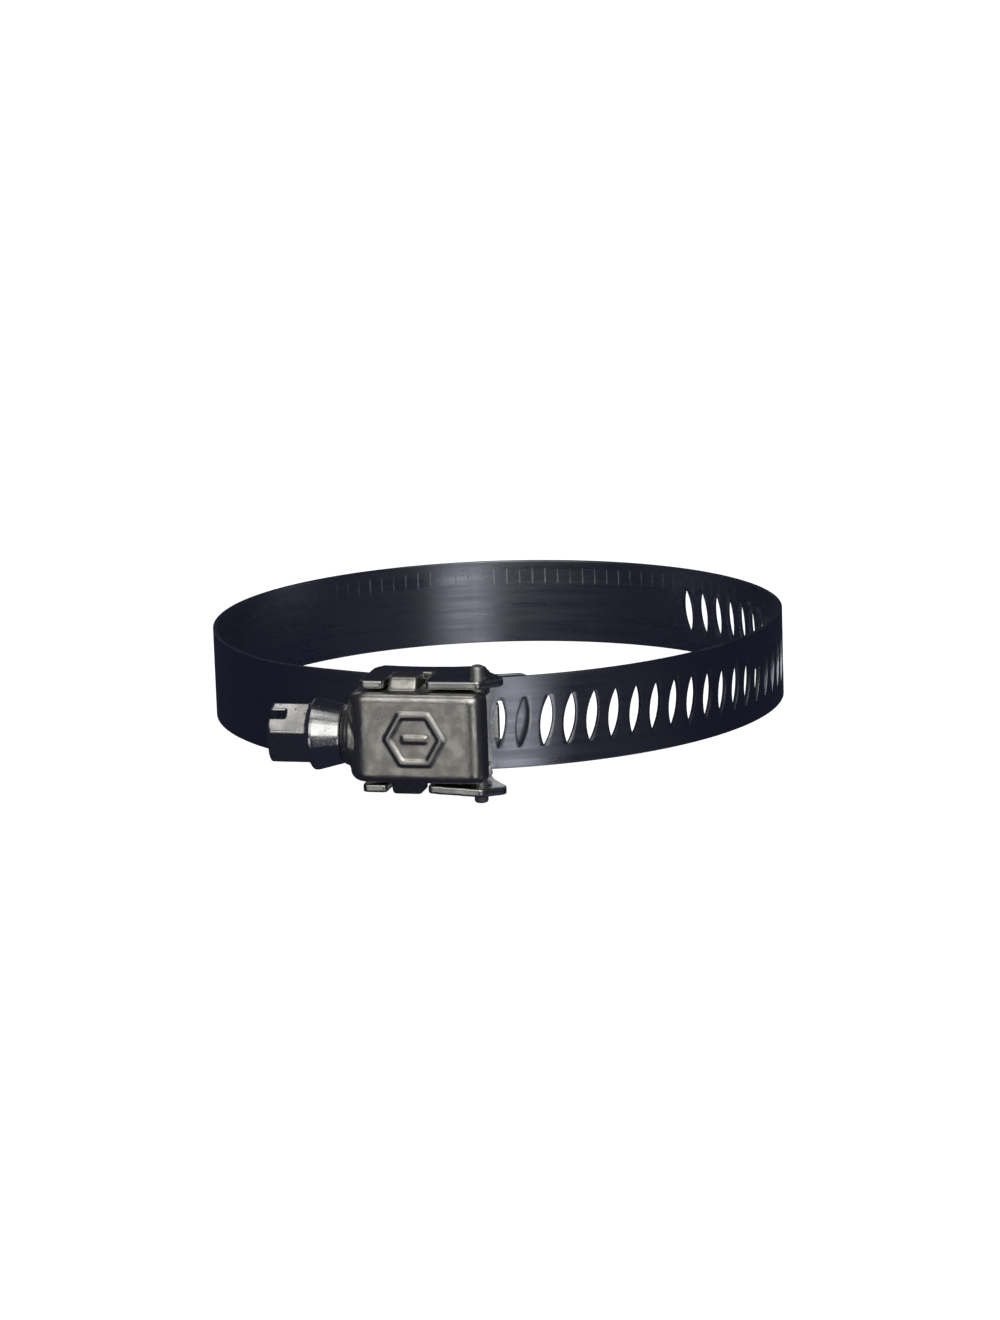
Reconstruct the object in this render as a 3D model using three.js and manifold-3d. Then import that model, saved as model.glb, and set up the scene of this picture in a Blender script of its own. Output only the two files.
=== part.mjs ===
// Quick-release worm-drive hose clamp: a slotted band, a bracket that the band's ends meet on,
// a shell that swings open on a pin, and the worm screw that the shell carries.
// Millimetres, +Z up along the hose. The origin is the middle of the loop, half way up the band.
// The bracket is at -Y, and the screw's head points to -X.
import * as THREE from "three";
import { mergeVertices } from "three/addons/utils/BufferGeometryUtils.js";
import Module from "manifold-3d";

const wasm = await Module();
wasm.setup();

const DEG = Math.PI / 180;

// Band
const BAND_WIDTH = 12.7;
const BAND_THICK = 0.6;
const LOOP_R = 41.0; // middle of the strip, round the back
const SIDE_EXTRA_R = 5.0; // the flatter sides are this much larger in radius
const SADDLE_R = 33.0; // middle of the strip, under the screw
const FRONT_BULGE = 4.3; // the front stands this far outside the round of the back
const SLOT_PITCH = 3.3;
const SLOT_WIDTH = 1.75;
const SLOT_HEIGHT = 7.2;
const SLOT_LEAN = 7 * DEG;
const FIRST_SLOT = 10.2; // along the strip from the middle of the saddle
const LOOP_SLOTS = 31;
const TAIL_SLOTS = 4;
const TAIL_SHORT = 0.8; // the tail ends this far short of where its next slot would be
const TONGUE_END = 15.6; // the plain end reaches this far along the strip
const WINDOW_LENGTH = 3.4;
const WINDOW_HEIGHT = 5.4;
const END_ROUND = 2.2;
const RAMP_START = 30; // the plain side moves in under the bracket over this stretch
const RAMP_END = 9.5;
const SPLIT_GAP = 0.04;

// Bracket
const PLATE_THICK = 1.15;
const EAR_THICK = 1.15;
const EAR_CLEAR = 0.27; // between the band's edge and an ear, at the ears' left end
const EAR_SHELL_CLEAR = 0.32; // between the shell's side and an ear
const EAR_LEFT = -6.9;
const EAR_INSET = 1.2; // the lugs and arms stop this far behind the shell's front
const UPPER_SPLAY = 0.01; // how fast an arm leans away from the band, from the notch on
const LOWER_SPLAY = 0.05;
const EAR_CORNER_R = 0.7;
const NOTCH_CORNER_R = 0.5;
const NOSE_REACH = 3.5; // past the pin, in X
const NOSE_BACK = 4.4; // behind the pin, in Y
const NOSE_R = 1.2;
const NOSE_TIP = 0.2; // the nose is furthest out this far behind the pin
const NOSE_BLUNT = 1.2; // the tip's length in Y
const NOSE_SLOPE = 0.3; // and how far it draws back in X over that length
const NECK_STEP = 0.8; // the nose's back edge turns toward the plate this far past the pin
const PLATE_RIGHT = 8.2;
const HOOK_LEFT = 9.0; // the hook goes down through the tongue's window here
const HOOK_WIDTH = 4.9;
const HOOK_LEG = 1.4; // the leg that goes through the window, along the strip
const HOOK_THICK = 0.6;
const HOOK_FOOT = 3.0;
const LAYER_GAP = 0.06;

// Hinge pin
const PIN_R = 0.95;
const PIN_X = 9.15;
const PIN_FROM_AXIS = 1.9; // the pin lies this far in front of the screw's axis
const PIN_ABOVE = 1.9; // past the upper ear
const PIN_BELOW = 1.2; // past the lower ear
const PIN_FIT = 0.06;
const PIN_END_R = 0.7 * PIN_R; // at the ends, inside the chamfers

// Worm screw
const THREAD_R = 4.4;
const CORE_R = 3.25;
const THREAD_BITE = 0.5;
const THREAD_CREST = 0.75;
const THREAD_ROOT = 1.5;
const THREAD_LEFT = -6.2;
const THREAD_RIGHT = 6.2;
const THREAD_STEPS = 28; // a turn
const THREAD_SINK = 0.3; // the ridge's foot lies this far inside the core
const SCREW_END = 7.2;
const SCREW_END_CHAMFER = 0.5;
const SCREW_DROP = 0.6; // the screw sits this far below the band's middle
const NECK_R = 3.4;
const NECK_FIT = 0.09;
const SHOULDER_LIP = 0.35; // the shoulder behind the shell's wall starts this much above the neck
const SHOULDER_TAPER = 0.5; // and widens over this length
const SHOULDER_LAND = 0.2;
const SHOULDER_BELOW = 0.2; // it ends this much under the thread
const CONE_SMALL_R = 4.0;
const CONE_LARGE_R = 5.0;
const CONE_LENGTH = 4.6;
const CONE_RIM = 0.5; // the flange's full width in X
const CONE_CHAMFER = 0.4; // on its face toward the head
const HEX_FLATS = 8.0;
const HEX_LENGTH = 5.5;
const HEX_TURN = 16 * DEG;
const HEX_CHAMFER = 0.5;
const HEX_SINK = 0.4; // the head runs on this far into the flange
const DRIVE_SLOT_WIDTH = 1.25;
const DRIVE_SLOT_DEPTH = 2.3;
const DRIVE_SLOT_TURN = 51.5 * DEG;

// Shell
const SHELL_WALL = 0.8;
const SHELL_ROOM = 0.5; // inside the shell's sides, past the thread
const SHELL_LEFT = -8.7;
const SHELL_RIGHT = 10.6;
const SHELL_EDGE_R = 1.2;
const SHELL_LEFT_R = 3.0;
const SHELL_INNER_R = 1.2; // inside the left end, clear of the screw's shoulder
const CURL_END = 2.6; // the front curls round the right end this far, then stops short of the pin
const SHELL_RIGHT_R = 2.6;
const SHELL_LIFT = 0.3; // between the shell's rim and the band
const THREAD_CLEAR = 0.15;
const HEEL_WALL = 0.325; // of the shell, round the pin at the slanting heel
const COLLAR_LENGTH = 1.15;
const COLLAR_WALL = 0.75;
const COLLAR_GAP = 0.15;
const TAB_LEFT = -3.0;
const TAB_WIDTH = 4.1;
const TAB_SWING_CLEAR = 0.12; // between the notch and the tab's far corner as the shell swings
const TAB_RIGHT_CLEAR = 1.1;
const TAB_BACK_CLEAR = 1.2;
const TAB_RISE = 0.45; // above the ear that it passes
const TAB_LENGTH = 5.2;
const TAB_EDGE_R = 0.35;
const TAB_FRONT_R = 0.9;
const TAB_BACK_R = 0.5;
const BADGE_X = 0.9;
const BADGE_FLATS = 7.2;
const BADGE_LINE = 0.8;
const BADGE_HEIGHT = 0.25;

// Sizes that follow
const SADDLE_CENTRE = -(LOOP_R - SADDLE_R + FRONT_BULGE);
const SIDE_R = LOOP_R + SIDE_EXTRA_R;
const HALF_WIDTH = BAND_WIDTH / 2;
const BAND_FRONT = SADDLE_CENTRE - SADDLE_R - BAND_THICK / 2;
const AXIS_Y = BAND_FRONT + THREAD_BITE - THREAD_R;
const PIN_Y = AXIS_Y - PIN_FROM_AXIS;
const PLATE_OUTER_R = SADDLE_R - BAND_THICK / 2 - LAYER_GAP;
const PLATE_INNER_R = PLATE_OUTER_R - PLATE_THICK;
const TONGUE_SHIFT = BAND_THICK + PLATE_THICK + 2 * LAYER_GAP;
const SHELL_FRONT = AXIS_Y - THREAD_R - THREAD_CLEAR - SHELL_WALL;
const SHELL_HALF_HEIGHT = THREAD_R + SCREW_DROP + SHELL_ROOM + SHELL_WALL;
const SHELL_BACK = BAND_FRONT - SHELL_LIFT;
const COLLAR_END = SHELL_LEFT - COLLAR_LENGTH;
const CONE_START = COLLAR_END - COLLAR_GAP;
const HEX_START = CONE_START - CONE_LENGTH;
const SPLIT = FIRST_SLOT - SLOT_PITCH / 2;
const TAIL_TIP = FIRST_SLOT - SLOT_PITCH * (TAIL_SLOTS + 1) + TAIL_SHORT;
const EAR_LOW = Math.max(HALF_WIDTH + EAR_CLEAR, SHELL_HALF_HEIGHT + EAR_SHELL_CLEAR);
const EAR_FRONT = SHELL_FRONT + EAR_INSET;
const TAB_FRONT = SHELL_FRONT + SHELL_EDGE_R;
const TAB_BACK = TAB_FRONT + TAB_LENGTH;
const TAB_SWING_R = Math.hypot(PIN_X - TAB_LEFT, TAB_BACK - PIN_Y);
const NOTCH_LEFT = PIN_X - TAB_SWING_R - TAB_SWING_CLEAR;
const NOTCH_RIGHT = TAB_LEFT + TAB_WIDTH + TAB_RIGHT_CLEAR;

// ---- solids -----------------------------------------------------------------------------

function solid(geometry) {
  const bare = geometry.clone();
  for (const name of Object.keys(bare.attributes)) {
    if (name !== "position") bare.deleteAttribute(name);
  }
  const merged = mergeVertices(bare, 1e-4);
  return new wasm.Manifold(
    new wasm.Mesh({
      numProp: 3,
      vertProperties: new Float32Array(merged.attributes.position.array),
      triVerts: new Uint32Array(merged.index.array),
    }),
  );
}

function piece(name, shape, material) {
  const mesh = shape.getMesh();
  const geometry = new THREE.BufferGeometry();
  geometry.setAttribute("position", new THREE.BufferAttribute(mesh.vertProperties, 3));
  geometry.setIndex(new THREE.BufferAttribute(mesh.triVerts, 1));
  geometry.computeVertexNormals();
  const part = new THREE.Mesh(geometry, material);
  part.name = name;
  return part;
}

function steel(color, roughness) {
  return new THREE.MeshStandardMaterial({ color, roughness, metalness: 1 });
}

function extrude(shape, depth, bevel = 0, segments = 8) {
  return new THREE.ExtrudeGeometry(shape, {
    depth: depth - 2 * bevel,
    curveSegments: segments,
    bevelEnabled: bevel > 0,
    bevelSize: bevel,
    bevelOffset: -bevel,
    bevelThickness: bevel,
    bevelSegments: 3,
  }).translate(0, 0, bevel - depth / 2);
}

function box(x0, x1, y0, y1, z0, z1) {
  const geometry = new THREE.BoxGeometry(x1 - x0, y1 - y0, z1 - z0);
  return solid(geometry.translate((x0 + x1) / 2, (y0 + y1) / 2, (z0 + z1) / 2));
}

// A closed outline whose corners [x, y, radius] are rounded.
function roundedShape(corners) {
  const shape = new THREE.Shape();
  corners.forEach(([x, y, radius], i) => {
    const here = new THREE.Vector2(x, y);
    const before = new THREE.Vector2(...corners.at(i - 1));
    const after = new THREE.Vector2(...corners[(i + 1) % corners.length]);
    const into = before.sub(here).normalize();
    const out = after.sub(here).normalize();
    const reach = radius / Math.tan(Math.acos(into.dot(out)) / 2);
    const start = here.clone().addScaledVector(into, reach);
    const end = here.clone().addScaledVector(out, reach);
    if (i === 0) shape.moveTo(start.x, start.y);
    else shape.lineTo(start.x, start.y);
    if (radius > 0) shape.quadraticCurveTo(x, y, end.x, end.y);
  });
  shape.closePath();
  return shape;
}

// A solid of revolution about the X axis through the screw's middle; profile points are [x, radius].
function turned(profile, segments = 40) {
  const points = profile.map(([x, radius]) => new THREE.Vector2(radius, x));
  const geometry = new THREE.LatheGeometry(points, segments);
  geometry.rotateZ(-Math.PI / 2);
  return solid(geometry.translate(0, AXIS_Y, -SCREW_DROP));
}

// ---- the band's plan --------------------------------------------------------------------

// Three arcs a side, each tangent to the next: saddle, side and back. Angles run from -Y to +X.
function planArcs() {
  const step = SIDE_R - SADDLE_R;
  const rise = -SADDLE_CENTRE;
  const spread = (step * step + rise * rise - SIDE_EXTRA_R * SIDE_EXTRA_R) / (2 * rise * step);
  const saddleEnd = Math.acos(spread);
  const sideX = -step * Math.sin(saddleEnd);
  const sideY = SADDLE_CENTRE + step * Math.cos(saddleEnd);
  const sideEnd = Math.atan2(-sideX, sideY);
  return [
    { x: 0, y: SADDLE_CENTRE, r: SADDLE_R, from: 0, to: saddleEnd },
    { x: sideX, y: sideY, r: SIDE_R, from: saddleEnd, to: sideEnd },
    { x: 0, y: 0, r: LOOP_R, from: sideEnd, to: Math.PI },
  ];
}

const ARCS = planArcs();
const HALF_LENGTH = ARCS.reduce((sum, arc) => sum + arc.r * (arc.to - arc.from), 0);

// The point `along` the strip from the saddle's middle, moved `out` from the strip's middle layer.
function planPoint(along, out = 0) {
  const lap = 2 * HALF_LENGTH;
  const wrapped = along - lap * Math.round(along / lap);
  const side = Math.sign(wrapped) || 1;
  let left = Math.abs(wrapped);
  let index = 0;
  while (index < 2 && left > ARCS[index].r * (ARCS[index].to - ARCS[index].from)) {
    left -= ARCS[index].r * (ARCS[index].to - ARCS[index].from);
    index += 1;
  }
  const arc = ARCS[index];
  const angle = arc.from + left / arc.r;
  const x = side * (arc.x + (arc.r + out) * Math.sin(angle));
  const y = arc.y - (arc.r + out) * Math.cos(angle);
  return { x, y, heading: side * angle };
}

// How far the strip has moved in, to pass under the bracket, at `along` (one lap on from the start).
function shiftIn(along) {
  const before = 2 * HALF_LENGTH - along;
  const share = THREE.MathUtils.clamp((RAMP_START - before) / (RAMP_START - RAMP_END), 0, 1);
  return (TONGUE_SHIFT * (1 - Math.cos(Math.PI * share))) / 2;
}

// A strip standing on edge that follows the plan from one place to another.
function strip(from, to, steps, outer, inner, height) {
  const points = [];
  for (let i = 0; i <= steps; i += 1) {
    const along = from + ((to - from) * i) / steps;
    points.push(planPoint(along, outer(along)));
  }
  for (let i = steps; i >= 0; i -= 1) {
    const along = from + ((to - from) * i) / steps;
    points.push(planPoint(along, inner(along)));
  }
  const shape = new THREE.Shape(points.map((point) => new THREE.Vector2(point.x, point.y)));
  return extrude(shape, height);
}

// Stands a cutter, drawn flat in X and Y and centred on Z, against the strip at `along`.
function onStrip(geometry, along, out = 0) {
  const { x, y, heading } = planPoint(along, out);
  geometry.rotateX(Math.PI / 2);
  geometry.rotateZ(heading);
  return solid(geometry.translate(x, y, 0));
}

function slotCutter(along) {
  const half = SLOT_HEIGHT / 2;
  const bulge = SLOT_WIDTH / 2;
  const r = (half * half + bulge * bulge) / (2 * bulge);
  const sweep = Math.asin(half / r);
  const lens = new THREE.Shape();
  lens.absarc(bulge - r, 0, r, -sweep, sweep, false);
  lens.absarc(r - bulge, 0, r, Math.PI - sweep, Math.PI + sweep, false);
  return onStrip(extrude(lens, 3 * BAND_THICK, 0, 7).rotateZ(-SLOT_LEAN), along);
}

// Rounds a strip's two corners where it ends; `way` is 1 where `along` grows toward the end.
function roundEnd(strap, along, way, out = 0) {
  const corner = new THREE.Shape();
  corner.moveTo(1, 1);
  corner.lineTo(1, -END_ROUND);
  corner.lineTo(0, -END_ROUND);
  corner.absarc(-END_ROUND, -END_ROUND, END_ROUND, 0, Math.PI / 2, false);
  corner.lineTo(-END_ROUND, 1);
  let result = strap;
  for (const turn of way > 0 ? [0, Math.PI] : [Math.PI, 0]) {
    const geometry = extrude(corner, 3 * BAND_THICK, 0, 6).translate(0, HALF_WIDTH, 0);
    if (way < 0) geometry.rotateY(Math.PI);
    geometry.rotateX(turn);
    result = result.subtract(onStrip(geometry, along, out));
  }
  return result;
}

const plainOuter = (along) => BAND_THICK / 2 - shiftIn(along);
const plainInner = (along) => -BAND_THICK / 2 - shiftIn(along);

function bandLoop() {
  const end = 2 * HALF_LENGTH + TONGUE_END;
  let strap = solid(strip(SPLIT + SPLIT_GAP, end, 150, plainOuter, plainInner, BAND_WIDTH));
  for (let i = 0; i < LOOP_SLOTS; i += 1) {
    strap = strap.subtract(slotCutter(FIRST_SLOT + SLOT_PITCH * i));
  }
  const half = WINDOW_LENGTH / 2;
  const tall = WINDOW_HEIGHT / 2;
  const window = roundedShape([[-half, -tall, 1], [half, -tall, 1], [half, tall, 1], [-half, tall, 1]]);
  strap = strap.subtract(onStrip(extrude(window, 1.6 * BAND_THICK), FIRST_SLOT, -TONGUE_SHIFT));
  return roundEnd(strap, TONGUE_END, 1, -TONGUE_SHIFT);
}

function bandTail() {
  const flat = BAND_THICK / 2;
  let strap = solid(strip(TAIL_TIP, SPLIT, 14, () => flat, () => -flat, BAND_WIDTH));
  for (let i = 1; i <= TAIL_SLOTS; i += 1) {
    strap = strap.subtract(slotCutter(FIRST_SLOT - SLOT_PITCH * i));
  }
  return roundEnd(strap, TAIL_TIP, -1);
}

// ---- bracket ----------------------------------------------------------------------------

// The middle of the sloping ear above (side 1) or below (side -1) the band, at one place.
function earLevel(side, x) {
  const splay = side > 0 ? UPPER_SPLAY : LOWER_SPLAY;
  return side * (EAR_LOW + EAR_THICK / 2 + splay * Math.max(0, x - NOTCH_RIGHT));
}

function moveInZ(geometry, rule) {
  const position = geometry.attributes.position;
  for (let i = 0; i < position.count; i += 1) {
    position.setZ(i, rule(position.getX(i), position.getZ(i)));
  }
  return geometry;
}

function earShape() {
  const plateAt = (x) => SADDLE_CENTRE - Math.sqrt(PLATE_INNER_R ** 2 - x * x);
  const notchBack = TAB_BACK + TAB_BACK_CLEAR;
  const nose = PIN_X + NOSE_REACH;
  return roundedShape([
    [EAR_LEFT, EAR_FRONT, EAR_CORNER_R],
    [NOTCH_LEFT, EAR_FRONT, NOTCH_CORNER_R],
    [NOTCH_LEFT, notchBack, NOTCH_CORNER_R],
    [NOTCH_RIGHT, notchBack, NOTCH_CORNER_R],
    [NOTCH_RIGHT, EAR_FRONT, EAR_CORNER_R],
    [PIN_X + NOTCH_CORNER_R, EAR_FRONT, NOSE_R],
    [nose, PIN_Y + NOSE_TIP, NOSE_R],
    [nose - NOSE_SLOPE, PIN_Y + NOSE_TIP + NOSE_BLUNT, NOTCH_CORNER_R],
    [PIN_X + NECK_STEP, PIN_Y + NOSE_BACK, 1.5],
    [PLATE_RIGHT, plateAt(PLATE_RIGHT), NOTCH_CORNER_R],
    [PLATE_RIGHT / 2, plateAt(PLATE_RIGHT / 2), 0],
    [0, plateAt(0), 0],
    [EAR_LEFT / 2, plateAt(EAR_LEFT / 2), 0],
    [EAR_LEFT + 1, plateAt(EAR_LEFT + 1), 0.3],
    [EAR_LEFT, plateAt(EAR_LEFT) - 2, 0.8],
  ]);
}

function pinHole(radius) {
  const geometry = new THREE.CylinderGeometry(radius, radius, 4 * BAND_WIDTH, 32);
  return solid(geometry.rotateX(Math.PI / 2).translate(PIN_X, PIN_Y, 0));
}

// The hook runs on from the plate, down through the tongue's window and back under the tongue.
function hook(outer, inner) {
  const right = HOOK_LEFT + HOOK_LEG;
  const under = -BAND_THICK / 2 - TONGUE_SHIFT - LAYER_GAP;
  const foot = under - HOOK_THICK;
  const run = strip(PLATE_RIGHT - 0.5, right, 2, () => outer, () => inner, HOOK_WIDTH);
  const leg = strip(HOOK_LEFT, right, 1, () => (outer + inner) / 2, () => foot, HOOK_WIDTH);
  const sole = strip(right - HOOK_FOOT, right, 3, () => under, () => foot, HOOK_WIDTH);
  return solid(run).add(solid(leg)).add(solid(sole));
}

function bracket() {
  const outer = PLATE_OUTER_R - SADDLE_R;
  const inner = PLATE_INNER_R - SADDLE_R;
  const plate = strip(EAR_LEFT, PLATE_RIGHT, 12, () => outer, () => inner, 2);
  let result = solid(moveInZ(plate, (x, z) => earLevel(Math.sign(z), x)));
  for (const side of [1, -1]) {
    const ear = extrude(earShape(), EAR_THICK);
    result = result.add(solid(moveInZ(ear, (x, z) => z + earLevel(side, x))));
  }
  return result.add(hook(outer, inner)).subtract(pinHole(PIN_R + PIN_FIT));
}

function hingePin() {
  const top = earLevel(1, PIN_X) + EAR_THICK / 2 + PIN_ABOVE;
  const foot = earLevel(-1, PIN_X) - EAR_THICK / 2 - PIN_BELOW;
  const profile = [
    [0, foot],
    [PIN_END_R, foot],
    [PIN_R, foot + 0.3 * PIN_R],
    [PIN_R, top - 0.6 * PIN_R],
    [PIN_END_R, top - 0.15 * PIN_R],
    [0, top],
  ];
  const points = profile.map(([radius, z]) => new THREE.Vector2(radius, z));
  return solid(new THREE.LatheGeometry(points, 32).rotateX(Math.PI / 2).translate(PIN_X, PIN_Y, 0));
}

// ---- shell ------------------------------------------------------------------------------

// The shell's box, drawn in by `wall` on every side but its open back.
function shellBox(wall, leftR, edge) {
  const left = SHELL_LEFT + wall;
  const right = SHELL_RIGHT - wall;
  const front = SHELL_FRONT + wall;
  const back = SHELL_BACK + 4;
  const outline = roundedShape([
    [left, front, leftR],
    [right, front, SHELL_RIGHT_R - wall],
    [right, back, 0],
    [left, back, 0],
  ]);
  return solid(extrude(outline, 2 * (SHELL_HALF_HEIGHT - wall), edge));
}

// What is cut from the shell's right end, so that it turns clear of the band: a slanting corner.
function heelCut() {
  const past = SHELL_RIGHT + 2;
  const top = PIN_Y + PIN_R + HEEL_WALL;
  const heel = new THREE.Shape([
    new THREE.Vector2(SHELL_RIGHT, top),
    new THREE.Vector2(past, top),
    new THREE.Vector2(past, SHELL_BACK + 1),
    new THREE.Vector2(PIN_X, SHELL_BACK + 1),
  ]);
  return solid(extrude(heel, 3 * SHELL_HALF_HEIGHT));
}

// Draws Y and Z in a shape's X and Y, and runs it along X.
function alongX(shape, left, width) {
  const geometry = extrude(shape, width, TAB_EDGE_R).rotateX(Math.PI / 2).rotateZ(Math.PI / 2);
  return solid(geometry.translate(left + width / 2, 0, 0));
}

function latchTab(side) {
  const root = side * (SHELL_HALF_HEIGHT - SHELL_WALL / 2);
  const top = earLevel(side, TAB_LEFT + TAB_WIDTH) + side * (EAR_THICK / 2 + TAB_RISE);
  const profile = roundedShape([
    [TAB_FRONT, root, 0],
    [TAB_FRONT + Math.abs(top - root) / 2, top, TAB_FRONT_R],
    [TAB_BACK, top, TAB_BACK_R],
    [TAB_BACK, root, 0],
  ]);
  return alongX(profile, TAB_LEFT, TAB_WIDTH);
}

// A raised six-sided ring with a bar across it: the screw's own head, as a plain sign.
function badge() {
  const outer = BADGE_FLATS / 2 / Math.cos(30 * DEG);
  const inner = outer - BADGE_LINE;
  const corner = (r, turn) => new THREE.Vector2(r * Math.cos(turn), r * Math.sin(turn));
  const hexagon = (r) => [0, 1, 2, 3, 4, 5].map((i) => corner(r, 60 * DEG * i));
  const ring = new THREE.Shape(hexagon(outer));
  ring.holes.push(new THREE.Path(hexagon(inner)));
  const bar = new THREE.Shape([
    new THREE.Vector2(-inner / 2, -BADGE_LINE / 2),
    new THREE.Vector2(inner / 2, -BADGE_LINE / 2),
    new THREE.Vector2(inner / 2, BADGE_LINE / 2),
    new THREE.Vector2(-inner / 2, BADGE_LINE / 2),
  ]);
  const depth = BADGE_HEIGHT + SHELL_WALL / 2;
  const geometry = extrude([ring, bar], depth).rotateX(Math.PI / 2);
  return solid(geometry.translate(BADGE_X, SHELL_FRONT - BADGE_HEIGHT + depth / 2, 0));
}

function shell() {
  const lip = NECK_R + NECK_FIT + COLLAR_WALL;
  const inside = SHELL_LEFT + SHELL_WALL;
  const collar = turned([
    [COLLAR_END, 0],
    [COLLAR_END, lip],
    [COLLAR_END + COLLAR_LENGTH / 2, lip],
    [SHELL_LEFT, lip + COLLAR_WALL],
    [inside, lip + COLLAR_WALL],
    [inside, 0],
  ]);
  const bore = turned([
    [COLLAR_END - 1, 0],
    [COLLAR_END - 1, NECK_R + NECK_FIT],
    [inside + 1, NECK_R + NECK_FIT],
    [inside + 1, 0],
  ]);
  const tall = SHELL_HALF_HEIGHT - SHELL_WALL;
  const behind = box(SHELL_LEFT - 5, SHELL_RIGHT + 5, SHELL_BACK, SHELL_BACK + 10, -BAND_WIDTH, BAND_WIDTH);
  const rightGap = box(PIN_X, SHELL_RIGHT + 1, SHELL_FRONT + CURL_END, SHELL_BACK, -tall, tall);
  return shellBox(0, SHELL_LEFT_R, SHELL_EDGE_R)
    .add(collar)
    .subtract(shellBox(SHELL_WALL, SHELL_INNER_R, SHELL_EDGE_R - SHELL_WALL))
    .subtract(rightGap)
    .subtract(heelCut())
    .subtract(bore)
    .add(latchTab(1))
    .add(latchTab(-1))
    .add(badge())
    .subtract(behind)
    .subtract(pinHole(PIN_R + PIN_FIT));
}

// ---- screw ------------------------------------------------------------------------------

// The worm's ridge: a section carried round the axis, low at both ends. It meets the band's slots.
function thread() {
  const mesh = FIRST_SLOT - 3 * SLOT_PITCH;
  const first = (THREAD_LEFT - mesh) / SLOT_PITCH;
  const turns = (THREAD_RIGHT - THREAD_LEFT) / SLOT_PITCH;
  const steps = Math.round(turns * THREAD_STEPS);
  const base = CORE_R - THREAD_SINK;
  const points = [];
  for (let i = 0; i <= steps; i += 1) {
    const turn = first + (turns * i) / steps;
    const runout = Math.min(1, (3 * Math.min(i, steps - i)) / THREAD_STEPS);
    const crest = THREE.MathUtils.lerp(CORE_R, THREAD_R, runout);
    const x = mesh + SLOT_PITCH * turn;
    const section = [
      [-THREAD_ROOT / 2, base],
      [-THREAD_CREST / 2, crest],
      [THREAD_CREST / 2, crest],
      [THREAD_ROOT / 2, base],
    ];
    for (const [across, r] of section) {
      const angle = 2 * Math.PI * turn;
      points.push(x + across, AXIS_Y + r * Math.cos(angle), r * Math.sin(angle) - SCREW_DROP);
    }
  }
  const faces = [0, 1, 2, 0, 2, 3];
  for (let i = 0; i < steps; i += 1) {
    for (let side = 0; side < 4; side += 1) {
      const a = 4 * i + side;
      const b = 4 * i + ((side + 1) % 4);
      faces.push(a, a + 4, b, b, a + 4, b + 4);
    }
  }
  const last = 4 * steps;
  faces.push(last, last + 2, last + 1, last, last + 3, last + 2);
  const geometry = new THREE.BufferGeometry();
  geometry.setAttribute("position", new THREE.Float32BufferAttribute(points, 3));
  geometry.setIndex(faces);
  return solid(geometry);
}

function hexHead() {
  const corner = HEX_FLATS / 2 / Math.cos(30 * DEG);
  const end = HEX_START - HEX_LENGTH;
  const prism = new THREE.CylinderGeometry(corner, corner, HEX_LENGTH + HEX_SINK, 6);
  prism.rotateZ(-Math.PI / 2).rotateX(HEX_TURN);
  prism.translate(end + (HEX_LENGTH + HEX_SINK) / 2, AXIS_Y, -SCREW_DROP);
  const round = turned([
    [end, 0],
    [end, corner - HEX_CHAMFER],
    [end + HEX_CHAMFER, corner],
    [HEX_START + HEX_SINK, corner],
    [HEX_START + HEX_SINK, 0],
  ]);
  const cut = new THREE.BoxGeometry(DRIVE_SLOT_DEPTH + 1, DRIVE_SLOT_WIDTH, 3 * corner);
  cut.rotateX(Math.PI / 2 - DRIVE_SLOT_TURN);
  cut.translate(end + (DRIVE_SLOT_DEPTH - 1) / 2, AXIS_Y, -SCREW_DROP);
  return solid(prism).intersect(round).subtract(solid(cut));
}

function screw() {
  const shoulder = SHELL_LEFT + SHELL_WALL + COLLAR_GAP;
  const shoulderEnd = shoulder + SHOULDER_TAPER + SHOULDER_LAND;
  const shaft = turned([
    [HEX_START, 0],
    [HEX_START, HEX_FLATS / 2],
    [HEX_START + CONE_CHAMFER, CONE_LARGE_R],
    [HEX_START + CONE_CHAMFER + CONE_RIM, CONE_LARGE_R],
    [CONE_START, CONE_SMALL_R],
    [CONE_START, NECK_R],
    [shoulder, NECK_R],
    [shoulder, NECK_R + SHOULDER_LIP],
    [shoulder + SHOULDER_TAPER, THREAD_R - SHOULDER_BELOW],
    [shoulderEnd, THREAD_R - SHOULDER_BELOW],
    [shoulderEnd, CORE_R],
    [SCREW_END - SCREW_END_CHAMFER, CORE_R],
    [SCREW_END, CORE_R - SCREW_END_CHAMFER],
    [SCREW_END, 0],
  ]);
  return shaft.add(thread()).add(hexHead());
}

// ---- the clamp --------------------------------------------------------------------------

const clamp = new THREE.Group();
clamp.add(piece("band_loop", bandLoop(), steel(0x6d7280, 0.25)));
clamp.add(piece("band_tail", bandTail(), steel(0x6d7280, 0.25)));
clamp.add(piece("bracket", bracket(), steel(0x62656c, 0.3)));
clamp.add(piece("hinge_pin", hingePin(), steel(0x8a8a88, 0.3)));
clamp.add(piece("shell", shell(), steel(0x7b7872, 0.3)));
clamp.add(piece("screw", screw(), steel(0x8d8f94, 0.25)));

export default clamp;
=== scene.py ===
"""A worm-drive hose clamp in bright steel: its finished pieces, its materials and its stage.

Laid out as an add-on: property groups for sizes and finishes, one operator for each piece, a panel.
Lengths are metres. +Z is along the hose, the housing is at -Y and the screw's head at -X.
"""
import math

import bmesh
import bpy
from bpy.props import FloatProperty, FloatVectorProperty, IntProperty, PointerProperty
from mathutils import Matrix, Vector


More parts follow.
